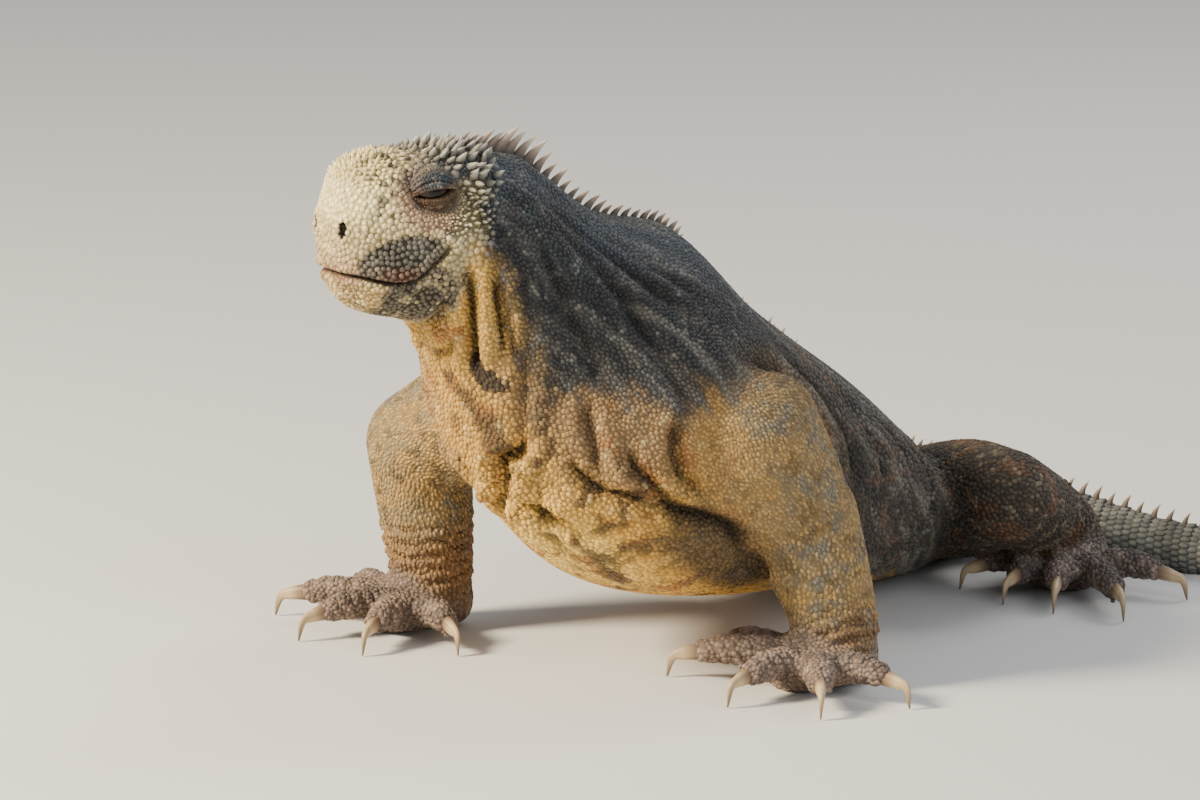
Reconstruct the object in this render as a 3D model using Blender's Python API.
"""Marine iguana, life size: an adult that pushes its chest up on straight arms and looks to its right.

+Z is up, -Y is the way the trunk faces and +X is the animal's left. Hands, feet, belly and tail rest on Z = 0.
Every node hangs on one empty, which brings the bottom centre of the whole box to the origin.
"""

import math
import random

import bmesh
import bpy
from mathutils import Matrix, Vector
from mathutils.bvhtree import BVHTree

MM = 0.001
GAP = 0.3 * MM
MODEL_SHIFT = Vector((-82.1, -105.3, 0.0)) * MM

# Sides of the rings, and the spacing of the rings along the body
HEAD_SIDES = 32
NECK_SIDES = 32
TRUNK_SIDES = 28
TAIL_SIDES = 12
LIMB_SIDES = 12
DIGIT_SIDES = 6
CLAW_SIDES = 6
TRUNK_RING_STEP = 11.0 * MM
TAIL_RING_STEP = 16.0 * MM

# The head: how it is held, and where its mouth line meets the tip of the snout
HEAD_YAW = math.radians(30.0)
HEAD_PITCH = math.radians(-3.0)
SNOUT = Vector((-63.5, -246.0, 153.0)) * MM
SNOUT_POLE_HEIGHT = 12.0
# Rows in millimetres: back from the snout, then top, bottom and half width, measured from the mouth line
HEAD_SECTIONS = (
    (0.0, 12.0, 12.0, 0.0),
    (1.2, 22.5, 0.0, 8.0),
    (4.0, 29.5, -9.0, 12.8),
    (8.0, 33.0, -15.0, 16.3),
    (14.0, 35.0, -18.5, 19.5),
    (22.0, 36.0, -20.0, 22.0),
    (32.0, 37.0, -21.5, 24.3),
    (44.0, 38.0, -25.5, 26.5),
    (58.0, 38.0, -33.0, 29.0),
    (72.0, 37.0, -42.0, 31.0),
)
HEAD_POWER = 2.3
HEAD_RINGS = (1.2, 2.6, 4.5, 7.0, 10.0, 13.5, 17.0, 21.0, 25.0, 28.5, 32.0, 35.5, 39.0, 42.5)
# Swellings and hollows of the head, in millimetres: back, across, height, reach along and up, then the push
HEAD_FORMS = (
    ("nostril rim", 3.0, 9.6, 10.5, 5.0, 5.0, 1.4),
    ("snout ridge", 18.0, 9.0, 34.0, 8.0, 5.0, 1.2),
    ("brow", 31.0, 20.0, 33.0, 10.0, 5.5, 3.0),
    ("eye hollow", 31.0, 23.0, 25.0, 9.0, 6.0, -2.2),
    ("cheek", 40.0, 26.0, 5.0, 8.0, 8.0, 1.5),
)

# The mouth line on the side of the head, in millimetres: back from the snout, height; and its groove and lips
MOUTH_LINE = ((0.0, -5.0), (8.0, -5.5), (14.0, -6.5), (21.0, -6.5), (26.0, -4.0), (30.0, 1.0), (34.0, 6.5))
MOUTH_PLACES = (3.4, 5.5, 9.0, 13.5, 18.0, 22.0, 26.0, 30.0, 33.5)
MOUTH_FRONT = 2.0
MOUTH_GROOVE = (2.6, 0.6)
LIP_OFFSET = 2.9
LIP_SIZE = (2.3, 2.4)

# Eyes and nostrils, in millimetres: centre of the ball, its radius, the lids around it and their opening
EYE = (31.0, 13.4, 25.0)
EYE_RADIUS = 8.0
EYE_TURN = math.radians(14.0)
LID_THICKNESS = 1.8
LID_OPENING = (7.6, 2.8)
EYE_SEGMENTS = 14
EYE_RINGS = 8
NOSTRIL = (1.7, 9.0, 10.3)
NOSTRIL_RADII = (2.6, 1.6, 2.8)

# The crest of spines along the back: place by section, then height and spacing in millimetres
CREST_TABLE = (
    ("nape", 9.5, 5.6),
    ("neck", 6.0, 5.8),
    ("neck base", 5.5, 6.2),
    ("chest", 6.0, 6.6),
    ("loin", 6.0, 7.2),
    ("vent", 5.5, 8.0),
    ("tail 3", 4.6, 9.5),
    ("tail 5", 4.2, 12.0),
    ("tail 7", 3.6, 15.0),
    ("tail 9", 2.6, 18.0),
    ("tail tip", 1.4, 20.0),
)
# Half length of a spine's root: millimetres, and share of its height. At the middle: share of the root,
# and height and lean back as shares of the spine's height
SPINE_ROOT = (1.1, 0.2)
SPINE_MIDDLE = (0.68, 0.52, 0.13)
SPINE_LEAN = 0.46
SPINE_THICKNESS = (1.2, 0.8)
SPINE_SINK = 3.0
SPINE_VARIATION = 0.14
CREST_SEED = 11
# The first spines stand on the back of the head: share of the way from its last ring to the nape, and height
HEAD_SPINES = ((0.30, 6.0), (0.52, 8.0), (0.76, 9.5))

# Cone-shaped scales of the head, in millimetres: distance between rows and in a row, and sizes by zone
CONE_SEED = 5
CONE_ROWS = 9
CONES_A_ROW = 11
CONE_SIDES = 5
CONE_SINK = 1.4
CONE_ZONES = (("snout", 1.9, 1.5), ("forehead", 2.4, 2.6), ("crown", 2.9, 4.6), ("cheek", 2.6, 3.0))

# The body from nape to tail tip, in millimetres and degrees: name, X, Y, Z of the section's centre,
# turn to the right, tilt (snout end up), half width, rise and drop
BODY_SECTIONS = (
    ("nape", -33.0, -195.0, 150.0, 30.0, 21.0, 30.0, 37.0, 39.0),
    ("neck", -21.0, -175.0, 129.0, 18.0, 33.0, 36.0, 41.0, 54.0),
    ("neck base", -6.0, -152.0, 111.0, 6.0, 36.0, 47.0, 54.0, 65.0),
    ("chest", 0.0, -120.0, 91.0, 0.0, 31.0, 56.0, 49.0, 68.0),
    ("ribs", 0.0, -80.0, 73.0, 0.0, 28.0, 60.0, 46.0, 59.0),
    ("belly", 0.0, -38.0, 57.0, 0.0, 24.0, 60.0, 42.0, 46.0),
    ("loin", 0.0, 4.0, 43.0, 0.0, 20.0, 53.0, 33.0, 38.0),
    ("hips", 0.0, 46.0, 30.5, 3.0, 14.0, 41.0, 22.5, 31.0),
    ("vent", 4.0, 82.0, 22.4, 15.0, 8.0, 28.0, 19.5, 22.8),
    ("tail root", 18.0, 110.0, 15.8, 42.0, 4.0, 18.5, 15.5, 16.2),
    ("tail 2", 50.0, 123.0, 12.8, 74.0, 2.0, 12.5, 13.2, 13.1),
    ("tail 3", 92.0, 125.0, 9.6, 84.0, 1.5, 9.0, 9.6, 9.9),
    ("tail 4", 140.0, 133.0, 7.6, 82.0, 1.0, 6.6, 8.0, 7.9),
    ("tail 5", 188.0, 141.0, 7.0, 74.0, 1.0, 5.6, 7.4, 7.3),
    ("tail 6", 234.0, 166.0, 6.6, 52.0, 1.0, 5.0, 6.8, 6.9),
    ("tail 7", 269.0, 208.0, 6.0, 30.0, 1.0, 4.4, 6.2, 6.3),
    ("tail 8", 290.0, 264.0, 5.2, 14.0, 1.0, 3.8, 5.4, 5.5),
    ("tail 9", 299.0, 328.0, 4.2, 3.0, 1.0, 3.0, 4.3, 4.5),
    ("tail 10", 298.0, 396.0, 3.0, -5.0, 1.0, 2.2, 3.0, 3.2),
    ("tail tip", 288.0, 460.0, 1.7, -9.0, 1.0, 1.2, 1.6, 1.8),
)
BODY_POWER = 2.3
BACK_POWER = 1.5
# The nodes of the body, each from one named section to the next
BODY_NODES = (
    ("neck", "nape", "neck base"),
    ("torso", "neck base", "loin"),
    ("pelvis", "loin", "vent"),
    ("tail_1", "vent", "tail root"),
    ("tail_2", "tail root", "tail 3"),
    ("tail_3", "tail 3", "tail 5"),
    ("tail_4", "tail 5", "tail 7"),
    ("tail_5", "tail 7", "tail 9"),
    ("tail_6", "tail 9", "tail tip"),
)

# Joints of the limbs, in millimetres
JOINTS = {
    "left": {
        "shoulder": (41.0, -133.0, 84.0),
        "elbow": (56.0, -116.0, 58.0),
        "wrist": (71.0, -117.0, 21.0),
        "hip": (26.0, 62.0, 29.0),
        "knee": (68.0, 28.0, 42.0),
        "ankle": (68.0, 86.0, 19.0),
    },
    "right": {
        "shoulder": (-52.0, -128.0, 88.0),
        "elbow": (-91.0, -130.0, 68.0),
        "wrist": (-87.0, -124.0, 21.0),
        "hip": (-26.0, 62.0, 29.0),
        "knee": (-70.0, 70.0, 42.0),
        "ankle": (-74.0, 122.0, 19.0),
    },
}
# Limbs: their three joints and two nodes, then the radius at each joint and halfway between, in millimetres
LIMBS = {
    "arm": (("shoulder", "elbow", "wrist"), ("upper_arm", "forearm"), (27.0, 22.5, 18.5, 17.0, 14.5)),
    "leg": (("hip", "knee", "ankle"), ("thigh", "shank"), (21.5, 21.5, 17.0, 15.5, 12.0)),
}

JOINT_BLOCK = 0.3

# Hands and feet: heading (degrees outwards from straight ahead), the digits' spread from it, thumb side first,
# and their lengths from the joint to the root of the claw
EXTREMITIES = {
    "hand": {
        "joint": "wrist",
        "heading": {"left": -27.0, "right": 28.0},
        "spread": {"left": (-60.0, -34.0, 13.0, 47.0, 84.0), "right": (-66.0, -33.0, -3.0, 38.0, 74.0)},
        "length": (40.0, 48.0, 47.0, 46.0, 34.0),
        "claw": 13.0,
    },
    "foot": {
        "joint": "ankle",
        "heading": {"left": 20.0, "right": 30.0},
        "spread": {"left": (-48.0, -20.0, 0.0, 21.0, 60.0), "right": (-48.0, -22.0, 0.0, 23.0, 60.0)},
        "length": (38.0, 46.0, 52.0, 62.0, 42.0),
        "claw": 14.0,
    },
}
DIGIT_RADII = (6.4, 5.8, 5.2, 4.3)
# The palm or sole, ahead of the joint: place, height of the centre, half width, rise, drop
PALM_SECTIONS = (
    (-13.0, 10.0, 8.0, 7.0, 9.5),
    (-8.0, 12.0, 12.5, 10.0, 12.3),
    (0.0, 12.0, 15.0, 10.5, 12.3),
    (10.0, 10.5, 16.5, 8.5, 10.8),
    (19.0, 9.0, 16.0, 6.5, 9.3),
    (25.0, 8.0, 12.0, 5.0, 8.0),
)

# Colour and roughness of each kind of node
SKIN_COLOURS = {
    "head": ((0.52, 0.49, 0.38), 0.8),
    "trunk": ((0.16, 0.15, 0.14), 0.8),
    "limb": ((0.33, 0.27, 0.19), 0.8),
    "eye": ((0.03, 0.02, 0.02), 0.15),
    "claw": ((0.62, 0.55, 0.45), 0.5),
}


def clear_scene():
    for item in list(bpy.data.objects):
        bpy.data.objects.remove(item, do_unlink=True)


def material(name, colour, roughness):
    made = bpy.data.materials.new(name)
    made.use_nodes = True
    shader = made.node_tree.nodes["Principled BSDF"]
    shader.inputs["Base Color"].default_value = (*colour, 1.0)
    shader.inputs["Roughness"].default_value = roughness
    shader.inputs["Metallic"].default_value = 0.0
    return made


def smooth_value(rows, at):
    """The values of a table at one place, by a cubic through its rows. Each row starts with its place."""
    last = len(rows) - 1
    k = 0
    while k < last - 1 and at > rows[k + 1][0]:
        k += 1
    span = rows[k + 1][0] - rows[k][0]
    t = min(max((at - rows[k][0]) / span, 0.0), 1.0)
    weights = (2 * t**3 - 3 * t**2 + 1, t**3 - 2 * t**2 + t, 3 * t**2 - 2 * t**3, t**3 - t**2)
    found = []
    for column in range(1, len(rows[0])):
        slopes = []
        for j in (k, k + 1):
            before, after = rows[max(j - 1, 0)], rows[min(j + 1, last)]
            slopes.append((after[column] - before[column]) / (after[0] - before[0]) * span)
        values = (rows[k][column], slopes[0], rows[k + 1][column], slopes[1])
        found.append(sum(weight * value for weight, value in zip(weights, values)))
    return found


def outline(sides, half_width, rise, drop, power, top_power=None):
    """A rounded section as (across, up) points, from the left side over the top."""
    points = []
    for k in range(sides):
        angle = 2 * math.pi * k / sides
        c, s = math.cos(angle), math.sin(angle)
        exponent = 2 / (top_power if top_power and s > 0 else power)
        across = half_width * math.copysign(abs(c) ** exponent, c)
        up = (rise if s > 0 else drop) * math.copysign(abs(s) ** exponent, s)
        points.append((across, up))
    return points


def mesh_object(name, mesh):
    """A mesh as an object, with its faces split into triangles that lie alike in a piece and its cutter."""
    bmesh.ops.triangulate(mesh, faces=mesh.faces, quad_method="FIXED")
    if mesh.calc_volume(signed=True) < 0:
        bmesh.ops.reverse_faces(mesh, faces=mesh.faces)
    data = bpy.data.meshes.new(name)
    mesh.to_mesh(data)
    mesh.free()
    made = bpy.data.objects.new(name, data)
    bpy.context.scene.collection.objects.link(made)
    return made


def loft(name, rings, start_pole=None, end_pole=None):
    """A closed mesh through rings of points, with a point or a flat face at each end."""
    mesh = bmesh.new()
    rows = [[mesh.verts.new(point) for point in ring] for ring in rings]
    for near, far in zip(rows, rows[1:]):
        for k in range(len(near)):
            j = (k + 1) % len(near)
            mesh.faces.new((near[k], near[j], far[j], far[k]))
    for ring, pole in ((rows[0][::-1], start_pole), (rows[-1], end_pole)):
        if pole is None:
            mesh.faces.new(ring)
            continue
        tip = mesh.verts.new(pole)
        for k in range(len(ring)):
            mesh.faces.new((ring[k], ring[(k + 1) % len(ring)], tip))
    return mesh_object(name, mesh)


def keep_largest(body):
    mesh = bmesh.new()
    mesh.from_mesh(body.data)
    todo, islands = set(mesh.verts), []
    while todo:
        island, front = set(), [todo.pop()]
        while front:
            vertex = front.pop()
            island.add(vertex)
            for edge in vertex.link_edges:
                other = edge.other_vert(vertex)
                if other in todo:
                    todo.remove(other)
                    front.append(other)
        islands.append(island)
    islands.sort(key=len)
    for island in islands[:-1]:
        bmesh.ops.delete(mesh, geom=list(island), context="VERTS")
    mesh.to_mesh(body.data)
    mesh.free()


def boolean(body, others, operation, solver="EXACT"):
    """Joins or cuts body with closed meshes, removes them, and keeps the largest closed surface."""
    tools = bpy.data.collections.new("tools")
    for other in others:
        tools.objects.link(other)
    change = body.modifiers.new(operation.lower(), "BOOLEAN")
    change.operation = operation
    change.operand_type = "COLLECTION"
    change.collection = tools
    change.solver = solver
    bpy.context.view_layer.objects.active = body
    bpy.ops.object.modifier_apply(modifier=change.name)
    for other in others:
        bpy.data.objects.remove(other, do_unlink=True)
    bpy.data.collections.remove(tools)
    keep_largest(body)


def body_table():
    """The body's sections with their distance along the body from the nape, in metres and radians."""
    rows, along = [], 0.0
    for k, row in enumerate(BODY_SECTIONS):
        point = Vector(row[1:4]) * MM
        if k:
            along += (point - before).length
        before = point
        angles = (math.radians(angle) for angle in row[4:6])
        rows.append((along, *point, *angles, *(size * MM for size in row[6:])))
    return rows


BODY = body_table()
STATION = {row[0]: place[0] for row, place in zip(BODY_SECTIONS, BODY)}
BODY_LENGTH = BODY[-1][0]


def head_matrix():
    """From head coordinates (back from the snout, left, above the mouth line) to the model's."""
    turn = Matrix.Rotation(-HEAD_YAW, 4, "Z") @ Matrix.Rotation(HEAD_PITCH, 4, "X")
    axes = Matrix(((0, 1, 0, 0), (1, 0, 0, 0), (0, 0, 1, 0), (0, 0, 0, 1)))
    return Matrix.Translation(SNOUT) @ turn @ axes


HEAD = head_matrix()


def head_point(back, across, height):
    """A place on the head, in millimetres, as a point of the model."""
    return HEAD @ (Vector((back, across, height)) * MM)


def body_frame(along):
    """Centre, backward direction, left and up of the body's section at a distance from the nape."""
    x, y, z, turn, tilt = smooth_value(BODY, along)[:5]
    back = Vector((math.sin(turn) * math.cos(tilt), math.cos(turn) * math.cos(tilt), -math.sin(tilt)))
    left = Vector((math.cos(turn), -math.sin(turn), 0.0))
    return Vector((x, y, z)), back, left, (-back).cross(left)


def body_ring(along, sides, grow=0.0):
    here, back, left, up = body_frame(along)
    half_width, rise, drop = (size + grow for size in smooth_value(BODY, along)[5:])
    section = outline(sides, half_width, rise, drop, BODY_POWER, BACK_POWER)
    return [here + left * a + up * b for a, b in section]


def stations(start, end, step):
    count = max(1, round((end - start) / step))
    return [start + (end - start) * k / count for k in range(count + 1)]


def body_piece(name, first, last, grow=0.0):
    """One node of the body between two named sections, or the same grown on all sides for a cut."""
    start = STATION[first] + (GAP / 2 if first != "nape" else 0.0)
    end = STATION[last] - (GAP / 2 if last != "tail tip" else 0.0)
    is_tail = name.startswith("tail")
    sides = TAIL_SIDES if is_tail else NECK_SIDES if name == "neck" else TRUNK_SIDES
    places = stations(start, end, TAIL_RING_STEP if is_tail else TRUNK_RING_STEP)
    rings = [body_ring(along, sides, grow) for along in places]
    if grow:
        rings[0] = [point - body_frame(start)[1] * grow for point in rings[0]]
        rings[-1] = [point + body_frame(end)[1] * grow for point in rings[-1]]
    return loft(name, rings)


def trunk_cutters():
    """Neck, torso, pelvis and the first two tail pieces grown by the gap, which cut the roots of the limbs."""
    return [body_piece("cutter " + name, first, last, GAP) for name, first, last in BODY_NODES[:5]]


def floor_cutter():
    """A slab below the floor, which gives each foot, the belly and the tail its small flat."""
    mesh = bmesh.new()
    bmesh.ops.create_cube(mesh, size=2.0)
    for vertex in mesh.verts:
        vertex.co.z = 0.0 if vertex.co.z > 0 else -0.1
    return mesh_object("floor cutter", mesh)


def head_section(back):
    """Centre height, half height and half width of the head, in millimetres."""
    top, bottom, half_width = smooth_value(HEAD_SECTIONS, back)
    return (top + bottom) / 2, (top - bottom) / 2, half_width


def head_side(back, height):
    """How far the surface of the head is from its middle plane, in millimetres."""
    centre, half_height, half_width = head_section(back)
    share = min(abs(height - centre) / half_height, 1.0)
    return half_width * (1 - share**HEAD_POWER) ** (1 / HEAD_POWER)


def head_push(back, across, height):
    """How far the named forms of the head move a place of its surface outwards, in millimetres."""
    total = 0.0
    for _, x, y, z, reach, reach_up, push in HEAD_FORMS:
        near = ((back - x) / reach) ** 2 + ((abs(across) - y) / reach_up) ** 2 + ((height - z) / reach_up) ** 2
        total += push * math.exp(-near)
    return total


def head_ring(back):
    centre, half_height, half_width = head_section(back)
    ring = []
    for across, up in outline(HEAD_SIDES, half_width, half_height, half_height, HEAD_POWER):
        grow = 1 + head_push(back, across, centre + up) / math.hypot(across, up)
        ring.append(head_point(back, across * grow, centre + up * grow))
    return ring


def head_base():
    rings = [head_ring(back) for back in HEAD_RINGS]
    shift = -body_frame(0.0)[1] * GAP
    rings.append([point + shift for point in body_ring(0.0, HEAD_SIDES)])
    return loft("head", rings, start_pole=head_point(0.0, 0.0, SNOUT_POLE_HEIGHT))


def mouth_path(offset, inward):
    """Points along the mouth line from one corner round the snout to the other, raised and sunk a little."""
    side = []
    for back in MOUTH_PLACES:
        height = smooth_value(MOUTH_LINE, back)[0] + offset
        side.append((back, head_side(back, height) - inward, height))
    front = [(MOUTH_FRONT + inward * 0.6, across, MOUTH_LINE[0][1] + offset) for across in (-4.0, 3.0)]
    row = [(back, -across, height) for back, across, height in reversed(side)] + front + side
    return [head_point(*place) for place in row]


def mouth_tube(name, offset, inward, size):
    path = mouth_path(offset, inward)
    return tube(name, path, [(size[0] * MM, size[1] * MM)] * len(path), 6)


def ball(name, centre, radii, segments, rings):
    """A closed ball with its own radii along, across and up the head."""
    rows = []
    for k in range(1, rings):
        lift = math.pi * k / rings - math.pi / 2
        row = []
        for j in range(segments):
            angle = 2 * math.pi * j / segments
            place = (
                centre[0] + radii[0] * math.cos(lift) * math.cos(angle),
                centre[1] + radii[1] * math.cos(lift) * math.sin(angle),
                centre[2] + radii[2] * math.sin(lift),
            )
            row.append(head_point(*place))
        rows.append(row)
    bottom = head_point(centre[0], centre[1], centre[2] - radii[2])
    top = head_point(centre[0], centre[1], centre[2] + radii[2])
    return loft(name, rows, bottom, top)


def eye_ball(name, side, grow):
    """The eye of one side (1 left, -1 right), or a ball around it."""
    radius = EYE_RADIUS + grow
    return ball(name, (EYE[0], EYE[1] * side, EYE[2]), (radius,) * 3, EYE_SEGMENTS, EYE_RINGS)


def lid_opening(side):
    """The gap between the lids: an almond cut from inside the eyeball outwards."""
    rings = []
    for away, spread in ((2.0, 0.8), (8.0, 1.0), (16.0, 1.6)):
        centre = (
            EYE[0] - away * math.sin(EYE_TURN),
            (EYE[1] + away * math.cos(EYE_TURN)) * side,
            EYE[2] - 0.5,
        )
        almond = outline(14, LID_OPENING[0] * spread, LID_OPENING[1] * spread, LID_OPENING[1] * spread, 1.6)
        rings.append([head_point(centre[0] + a, centre[1], centre[2] + b) for a, b in almond])
    return loft("lid opening", rings)


def head_spines():
    """The first spines of the crest, between the last ring of the skull and the nape."""
    *_, section_top = head_ring(HEAD_RINGS[-1])[:HEAD_SIDES // 4 + 1]
    _, back, left, up = body_frame(0.0)
    nape_top = body_ring(0.0, HEAD_SIDES)[HEAD_SIDES // 4]
    made = []
    for share, height in HEAD_SPINES:
        made.append(spine(section_top.lerp(nape_top, share), back, left, up, height * MM))
    return made


def cone_zone(place):
    """Which zone of the head a place, in millimetres, is in, or None where no cone grows."""
    back, across, height = place
    mouth = smooth_value(MOUTH_LINE, back)[0]
    near_eye = math.hypot((back - EYE[0]) / 12.5, (height - EYE[2]) / 9.0) < 1 and abs(across) > 10
    near_nostril = (place - Vector((NOSTRIL[0], math.copysign(NOSTRIL[1], across), NOSTRIL[2]))).length < 5
    near_lips = back < 38 and height < mouth + 8
    if near_eye or near_nostril or near_lips or height < mouth - 4:
        return None
    if back < 17:
        return CONE_ZONES[0]
    if height < 22:
        return CONE_ZONES[3]
    return CONE_ZONES[1] if back < 34 else CONE_ZONES[2]


def head_cones(head):
    """Low cones all over the snout, forehead, crown and cheeks, in rows that are offset by half a space."""
    mesh = bmesh.new()
    mesh.from_mesh(head.data)
    surface = BVHTree.FromBMesh(mesh)
    mesh.free()
    chance = random.Random(CONE_SEED)
    inverse = HEAD.inverted()
    made = []
    for row in range(CONE_ROWS):
        share = (row + 0.5) / CONE_ROWS
        middle = head_point(6.0, 0.0, 12.0).lerp(body_frame(0.0)[0], share * 0.9)
        for k in range(CONES_A_ROW):
            angle = math.pi * (k + 0.5 * (row % 2) + chance.uniform(-0.15, 0.15)) / (CONES_A_ROW - 0.5)
            away = HEAD.to_3x3() @ Vector((-0.25 * (1 - share), math.cos(angle), math.sin(angle)))
            spot, normal, _, _ = surface.ray_cast(middle, away.normalized())
            zone = cone_zone(inverse @ spot / MM)
            if zone is None:
                continue
            radius = zone[1] * chance.uniform(0.85, 1.15) * MM
            height = zone[2] * chance.uniform(0.8, 1.2) * MM
            side = normal.orthogonal().normalized()
            other = normal.cross(side)
            foot = spot - normal * CONE_SINK * MM
            ring = [foot + side * a + other * b for a, b in outline(CONE_SIDES, radius, radius, radius, 2.0)]
            tip = spot + (normal * height).lerp(body_frame(0.0)[1] * height, 0.15)
            made.append(loft("cone", [ring], end_pole=tip))
    return made


def build_head():
    """The head with lips and lids joined on, then mouth groove, nostrils and eye hollows cut."""
    head = head_base()
    joined = [mouth_tube("lip", offset, 0.9, LIP_SIZE) for offset in (LIP_OFFSET, -LIP_OFFSET)]
    joined += [eye_ball("lids", side, LID_THICKNESS) for side in (1, -1)]
    joined += head_spines() + head_cones(head)
    boolean(head, joined, "UNION", "MANIFOLD")
    cut = [mouth_tube("groove", 0.0, 0.0, MOUTH_GROOVE)]
    for side in (1, -1):
        cut.append(ball("nostril", (NOSTRIL[0], NOSTRIL[1] * side, NOSTRIL[2]), NOSTRIL_RADII, 8, 6))
        cut.append(eye_ball("socket", side, GAP / MM))
        cut.append(lid_opening(side))
    boolean(head, cut, "DIFFERENCE", "MANIFOLD")
    eyes = [eye_ball("eye_left", 1, 0.0), eye_ball("eye_right", -1, 0.0)]
    return head, eyes


def spine_half_length(height):
    return SPINE_ROOT[0] * MM + SPINE_ROOT[1] * height


def spine(root, back, left, up, height):
    """A flat thorn with a lens-shaped section: a long root inside the body and a tip that leans back."""
    middle_share, middle_rise, middle_lean = SPINE_MIDDLE
    half_length = spine_half_length(height)
    levels = (
        (-SPINE_SINK * MM, 0.0, half_length, SPINE_THICKNESS[0] * MM),
        (height * middle_rise, height * middle_lean, half_length * middle_share, SPINE_THICKNESS[1] * MM),
    )
    rings = []
    for rise, lean, length, thickness in levels:
        centre = root + up * rise + back * lean
        rings.append([centre + back * a + left * b for a, b in outline(4, length, thickness, thickness, 2.0)])
    return loft("spine", rings, end_pole=root + up * height + back * height * SPINE_LEAN)


def crest_spines(first, last, chance):
    """The spines of one node, from near its first section to near its last."""
    rows = [(STATION[name], height * MM, spacing * MM) for name, height, spacing in CREST_TABLE]
    made = []
    along = STATION[first]
    while True:
        spacing = smooth_value(rows, along)[1]
        along += spacing / 2
        height = smooth_value(rows, along)[0] * chance.uniform(1 - SPINE_VARIATION, 1 + SPINE_VARIATION)
        if along + spine_half_length(height) + GAP > STATION[last]:
            return made
        here, back, left, up = body_frame(along)
        top = here + up * smooth_value(BODY, along)[6]
        made.append(spine(top, back, left, up, height))
        along += spacing / 2


def build_body():
    nodes = {}
    chance = random.Random(CREST_SEED)
    for name, first, last in BODY_NODES:
        nodes[name] = body_piece(name, first, last)
        boolean(nodes[name], crest_spines(first, last, chance), "UNION", "MANIFOLD")
        boolean(nodes[name], [floor_cutter()], "DIFFERENCE", "MANIFOLD")
    return nodes


def tube(name, points, radii, sides, start_pole=None, end_pole=None):
    """A closed round tube along points; each radius is a number or a (sideways, upward) pair."""
    rings = []
    for k, point in enumerate(points):
        before, after = points[max(k - 1, 0)], points[min(k + 1, len(points) - 1)]
        along = (after - before).normalized()
        side = along.cross(Vector((0, 0, 1)))
        side = side.normalized() if side.length > 0.1 else Vector((1, 0, 0))
        upward = side.cross(along)
        wide, high = radii[k] if isinstance(radii[k], tuple) else (radii[k], radii[k])
        rings.append([point + side * a + upward * b for a, b in outline(sides, wide, high, high, 2.0)])
    return loft(name, rings, start_pole, end_pole)


def limb_joints(side, limb):
    return [Vector(JOINTS[side][name]) * MM for name in LIMBS[limb][0]]


def limb_piece(name, side, limb, part, grow=0.0):
    """The upper (0) or lower (1) half of a limb, tapered from joint to joint and rounded at both ends."""
    start, end = limb_joints(side, limb)[part:part + 2]
    sizes = [size * MM + grow for size in LIMBS[limb][2][2 * part:2 * part + 3]]
    along = (end - start).normalized()
    length = (end - start).length
    caps = [(math.sin(angle), math.cos(angle)) for angle in (math.radians(60), math.radians(30))]
    table = [(0.0, sizes[0]), (length / 2, sizes[1]), (length, sizes[2])]
    rows = [(-sizes[0] * away, sizes[0] * share) for away, share in caps]
    rows += [(place, smooth_value(table, place)[0]) for place in stations(0.0, length, length / 4)]
    rows += [(length + sizes[2] * away, sizes[2] * share) for away, share in reversed(caps)]
    points = [start + along * place for place, _ in rows]
    radii = [size for _, size in rows]
    return tube(name, points, radii, LIMB_SIDES, start - along * sizes[0], end + along * sizes[2])


def joint_cutter(side, limb, part):
    """A block on the far side of the plane that halves the bend of the elbow or knee."""
    first, middle, last = limb_joints(side, limb)
    normal = ((first - middle).normalized() - (last - middle).normalized()).normalized()
    if part == 1:
        normal = -normal
    mesh = bmesh.new()
    bmesh.ops.create_cube(mesh, size=JOINT_BLOCK)
    turn = normal.to_track_quat("Z", "Y").to_matrix().to_4x4()
    place = Matrix.Translation(middle + normal * (GAP - JOINT_BLOCK) / 2) @ turn
    bmesh.ops.transform(mesh, matrix=place, verts=mesh.verts)
    return mesh_object("joint cutter", mesh)


def heading_vectors(kind, side, spread):
    """Forward and outward directions on the floor of a digit, or of the palm with no spread."""
    out = 1.0 if side == "left" else -1.0
    angle = math.radians(EXTREMITIES[kind]["heading"][side] + spread)
    ahead = Vector((math.sin(angle) * out, -math.cos(angle), 0))
    outward = Vector((math.cos(angle) * out, math.sin(angle), 0))
    return ahead, outward


def digit_path(kind, side, k):
    """The middle line of a digit, from inside the palm to the root of its claw."""
    spec = EXTREMITIES[kind]
    joint = Vector(JOINTS[side][spec["joint"]]) * MM
    joint.z = 0.0
    ahead, outward = heading_vectors(kind, side, 0.0)
    root = joint + ahead * 12 * MM + outward * (k - 2) * 5.0 * MM
    direction = heading_vectors(kind, side, spec["spread"][side][k])[0]
    reach = joint + direction * spec["length"][k] * MM - root
    heights = (8.0, 10.5, 11.0, 9.5)
    places = (0.0, 0.38, 0.72, 1.0)
    return [root + reach * place + Vector((0, 0, height * MM)) for place, height in zip(places, heights)]


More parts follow.
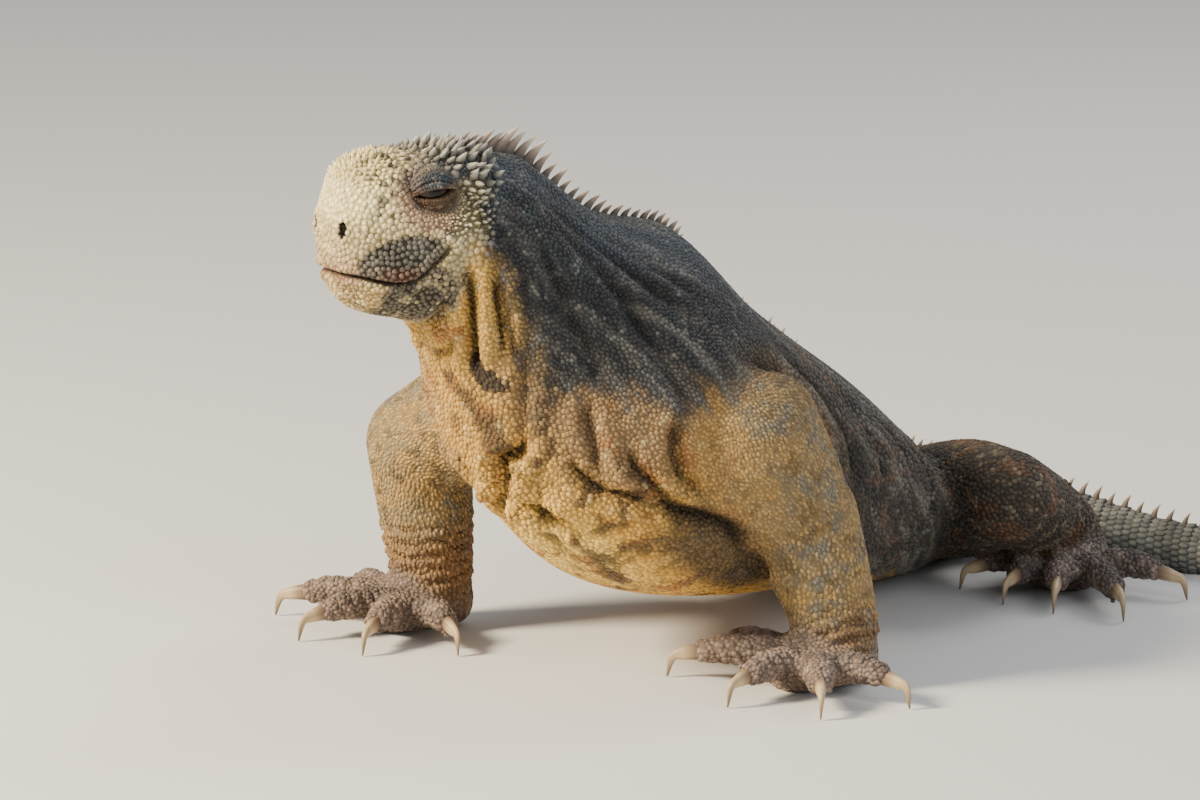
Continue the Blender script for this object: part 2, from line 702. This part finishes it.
def build_extremity(kind, side):
    """A hand or foot: palm or sole with five digits, and the five claws as nodes of their own."""
    spec = EXTREMITIES[kind]
    joint = Vector(JOINTS[side][spec["joint"]]) * MM
    ahead, outward = heading_vectors(kind, side, 0.0)
    rings = []
    for place, height, half_width, rise, drop in PALM_SECTIONS:
        centre = Vector((joint.x, joint.y, height * MM)) + ahead * place * MM
        ring = outline(LIMB_SIDES, half_width * MM, rise * MM, drop * MM, 2.2)
        rings.append([centre + outward * a + Vector((0, 0, b)) for a, b in ring])
    palm = loft(f"{kind}_{side}", rings)
    digits = []
    claws = []
    for k in range(5):
        path = digit_path(kind, side, k)
        radii = [radius * MM for radius in DIGIT_RADII]
        digits.append(tube("digit", path, radii, DIGIT_SIDES))
        tip = path[-1]
        along = (path[-1] - path[-2]).normalized()
        flat = Vector((along.x, along.y, 0)).normalized()
        length = spec["claw"] * MM
        start = tip + along * GAP
        points = [start, start + along * length * 0.35]
        points.append(start + flat * length * 0.66 + Vector((0, 0, -2.6 * MM)))
        end = start + flat * length * 0.82
        end.z = 0.4 * MM
        sizes = [(2.2 * MM, 3.3 * MM), (1.9 * MM, 2.8 * MM), (1.3 * MM, 1.9 * MM)]
        claws.append(tube(f"claw_{kind}_{side}_{k + 1}", points, sizes, CLAW_SIDES, end_pole=end))
    boolean(palm, digits, "UNION")
    limb = "arm" if kind == "hand" else "leg"
    boolean(palm, [limb_piece("cutter", side, limb, 1, GAP), floor_cutter()], "DIFFERENCE")
    return palm, claws


def build_limb(side, limb):
    pieces = []
    for part, name in enumerate(LIMBS[limb][1]):
        piece = limb_piece(f"{name}_{side}", side, limb, part)
        cutters = trunk_cutters() + [floor_cutter(), joint_cutter(side, limb, part)]
        boolean(piece, cutters, "DIFFERENCE", "MANIFOLD")
        pieces.append(piece)
    return pieces


def finish(node, skin, root):
    """Gives a node its material, smooth shading and its place under the root."""
    node.data.materials.clear()
    node.data.materials.append(skin)
    node.data.polygons.foreach_set("use_smooth", [True] * len(node.data.polygons))
    node.parent = root


def main():
    clear_scene()
    root = bpy.data.objects.new("marine_iguana", None)
    bpy.context.scene.collection.objects.link(root)
    root.location = MODEL_SHIFT
    head, eyes = build_head()
    groups = [([head], "head"), (eyes, "eye"), (build_body().values(), "trunk")]
    for side in ("left", "right"):
        for limb in ("arm", "leg"):
            groups.append((build_limb(side, limb), "limb"))
        for kind in ("hand", "foot"):
            palm, claws = build_extremity(kind, side)
            groups += [([palm], "limb"), (claws, "claw")]
    for nodes, kind in groups:
        colour, roughness = SKIN_COLOURS[kind]
        for node in nodes:
            finish(node, material(f"{kind} {node.name}", colour, roughness), root)


main()
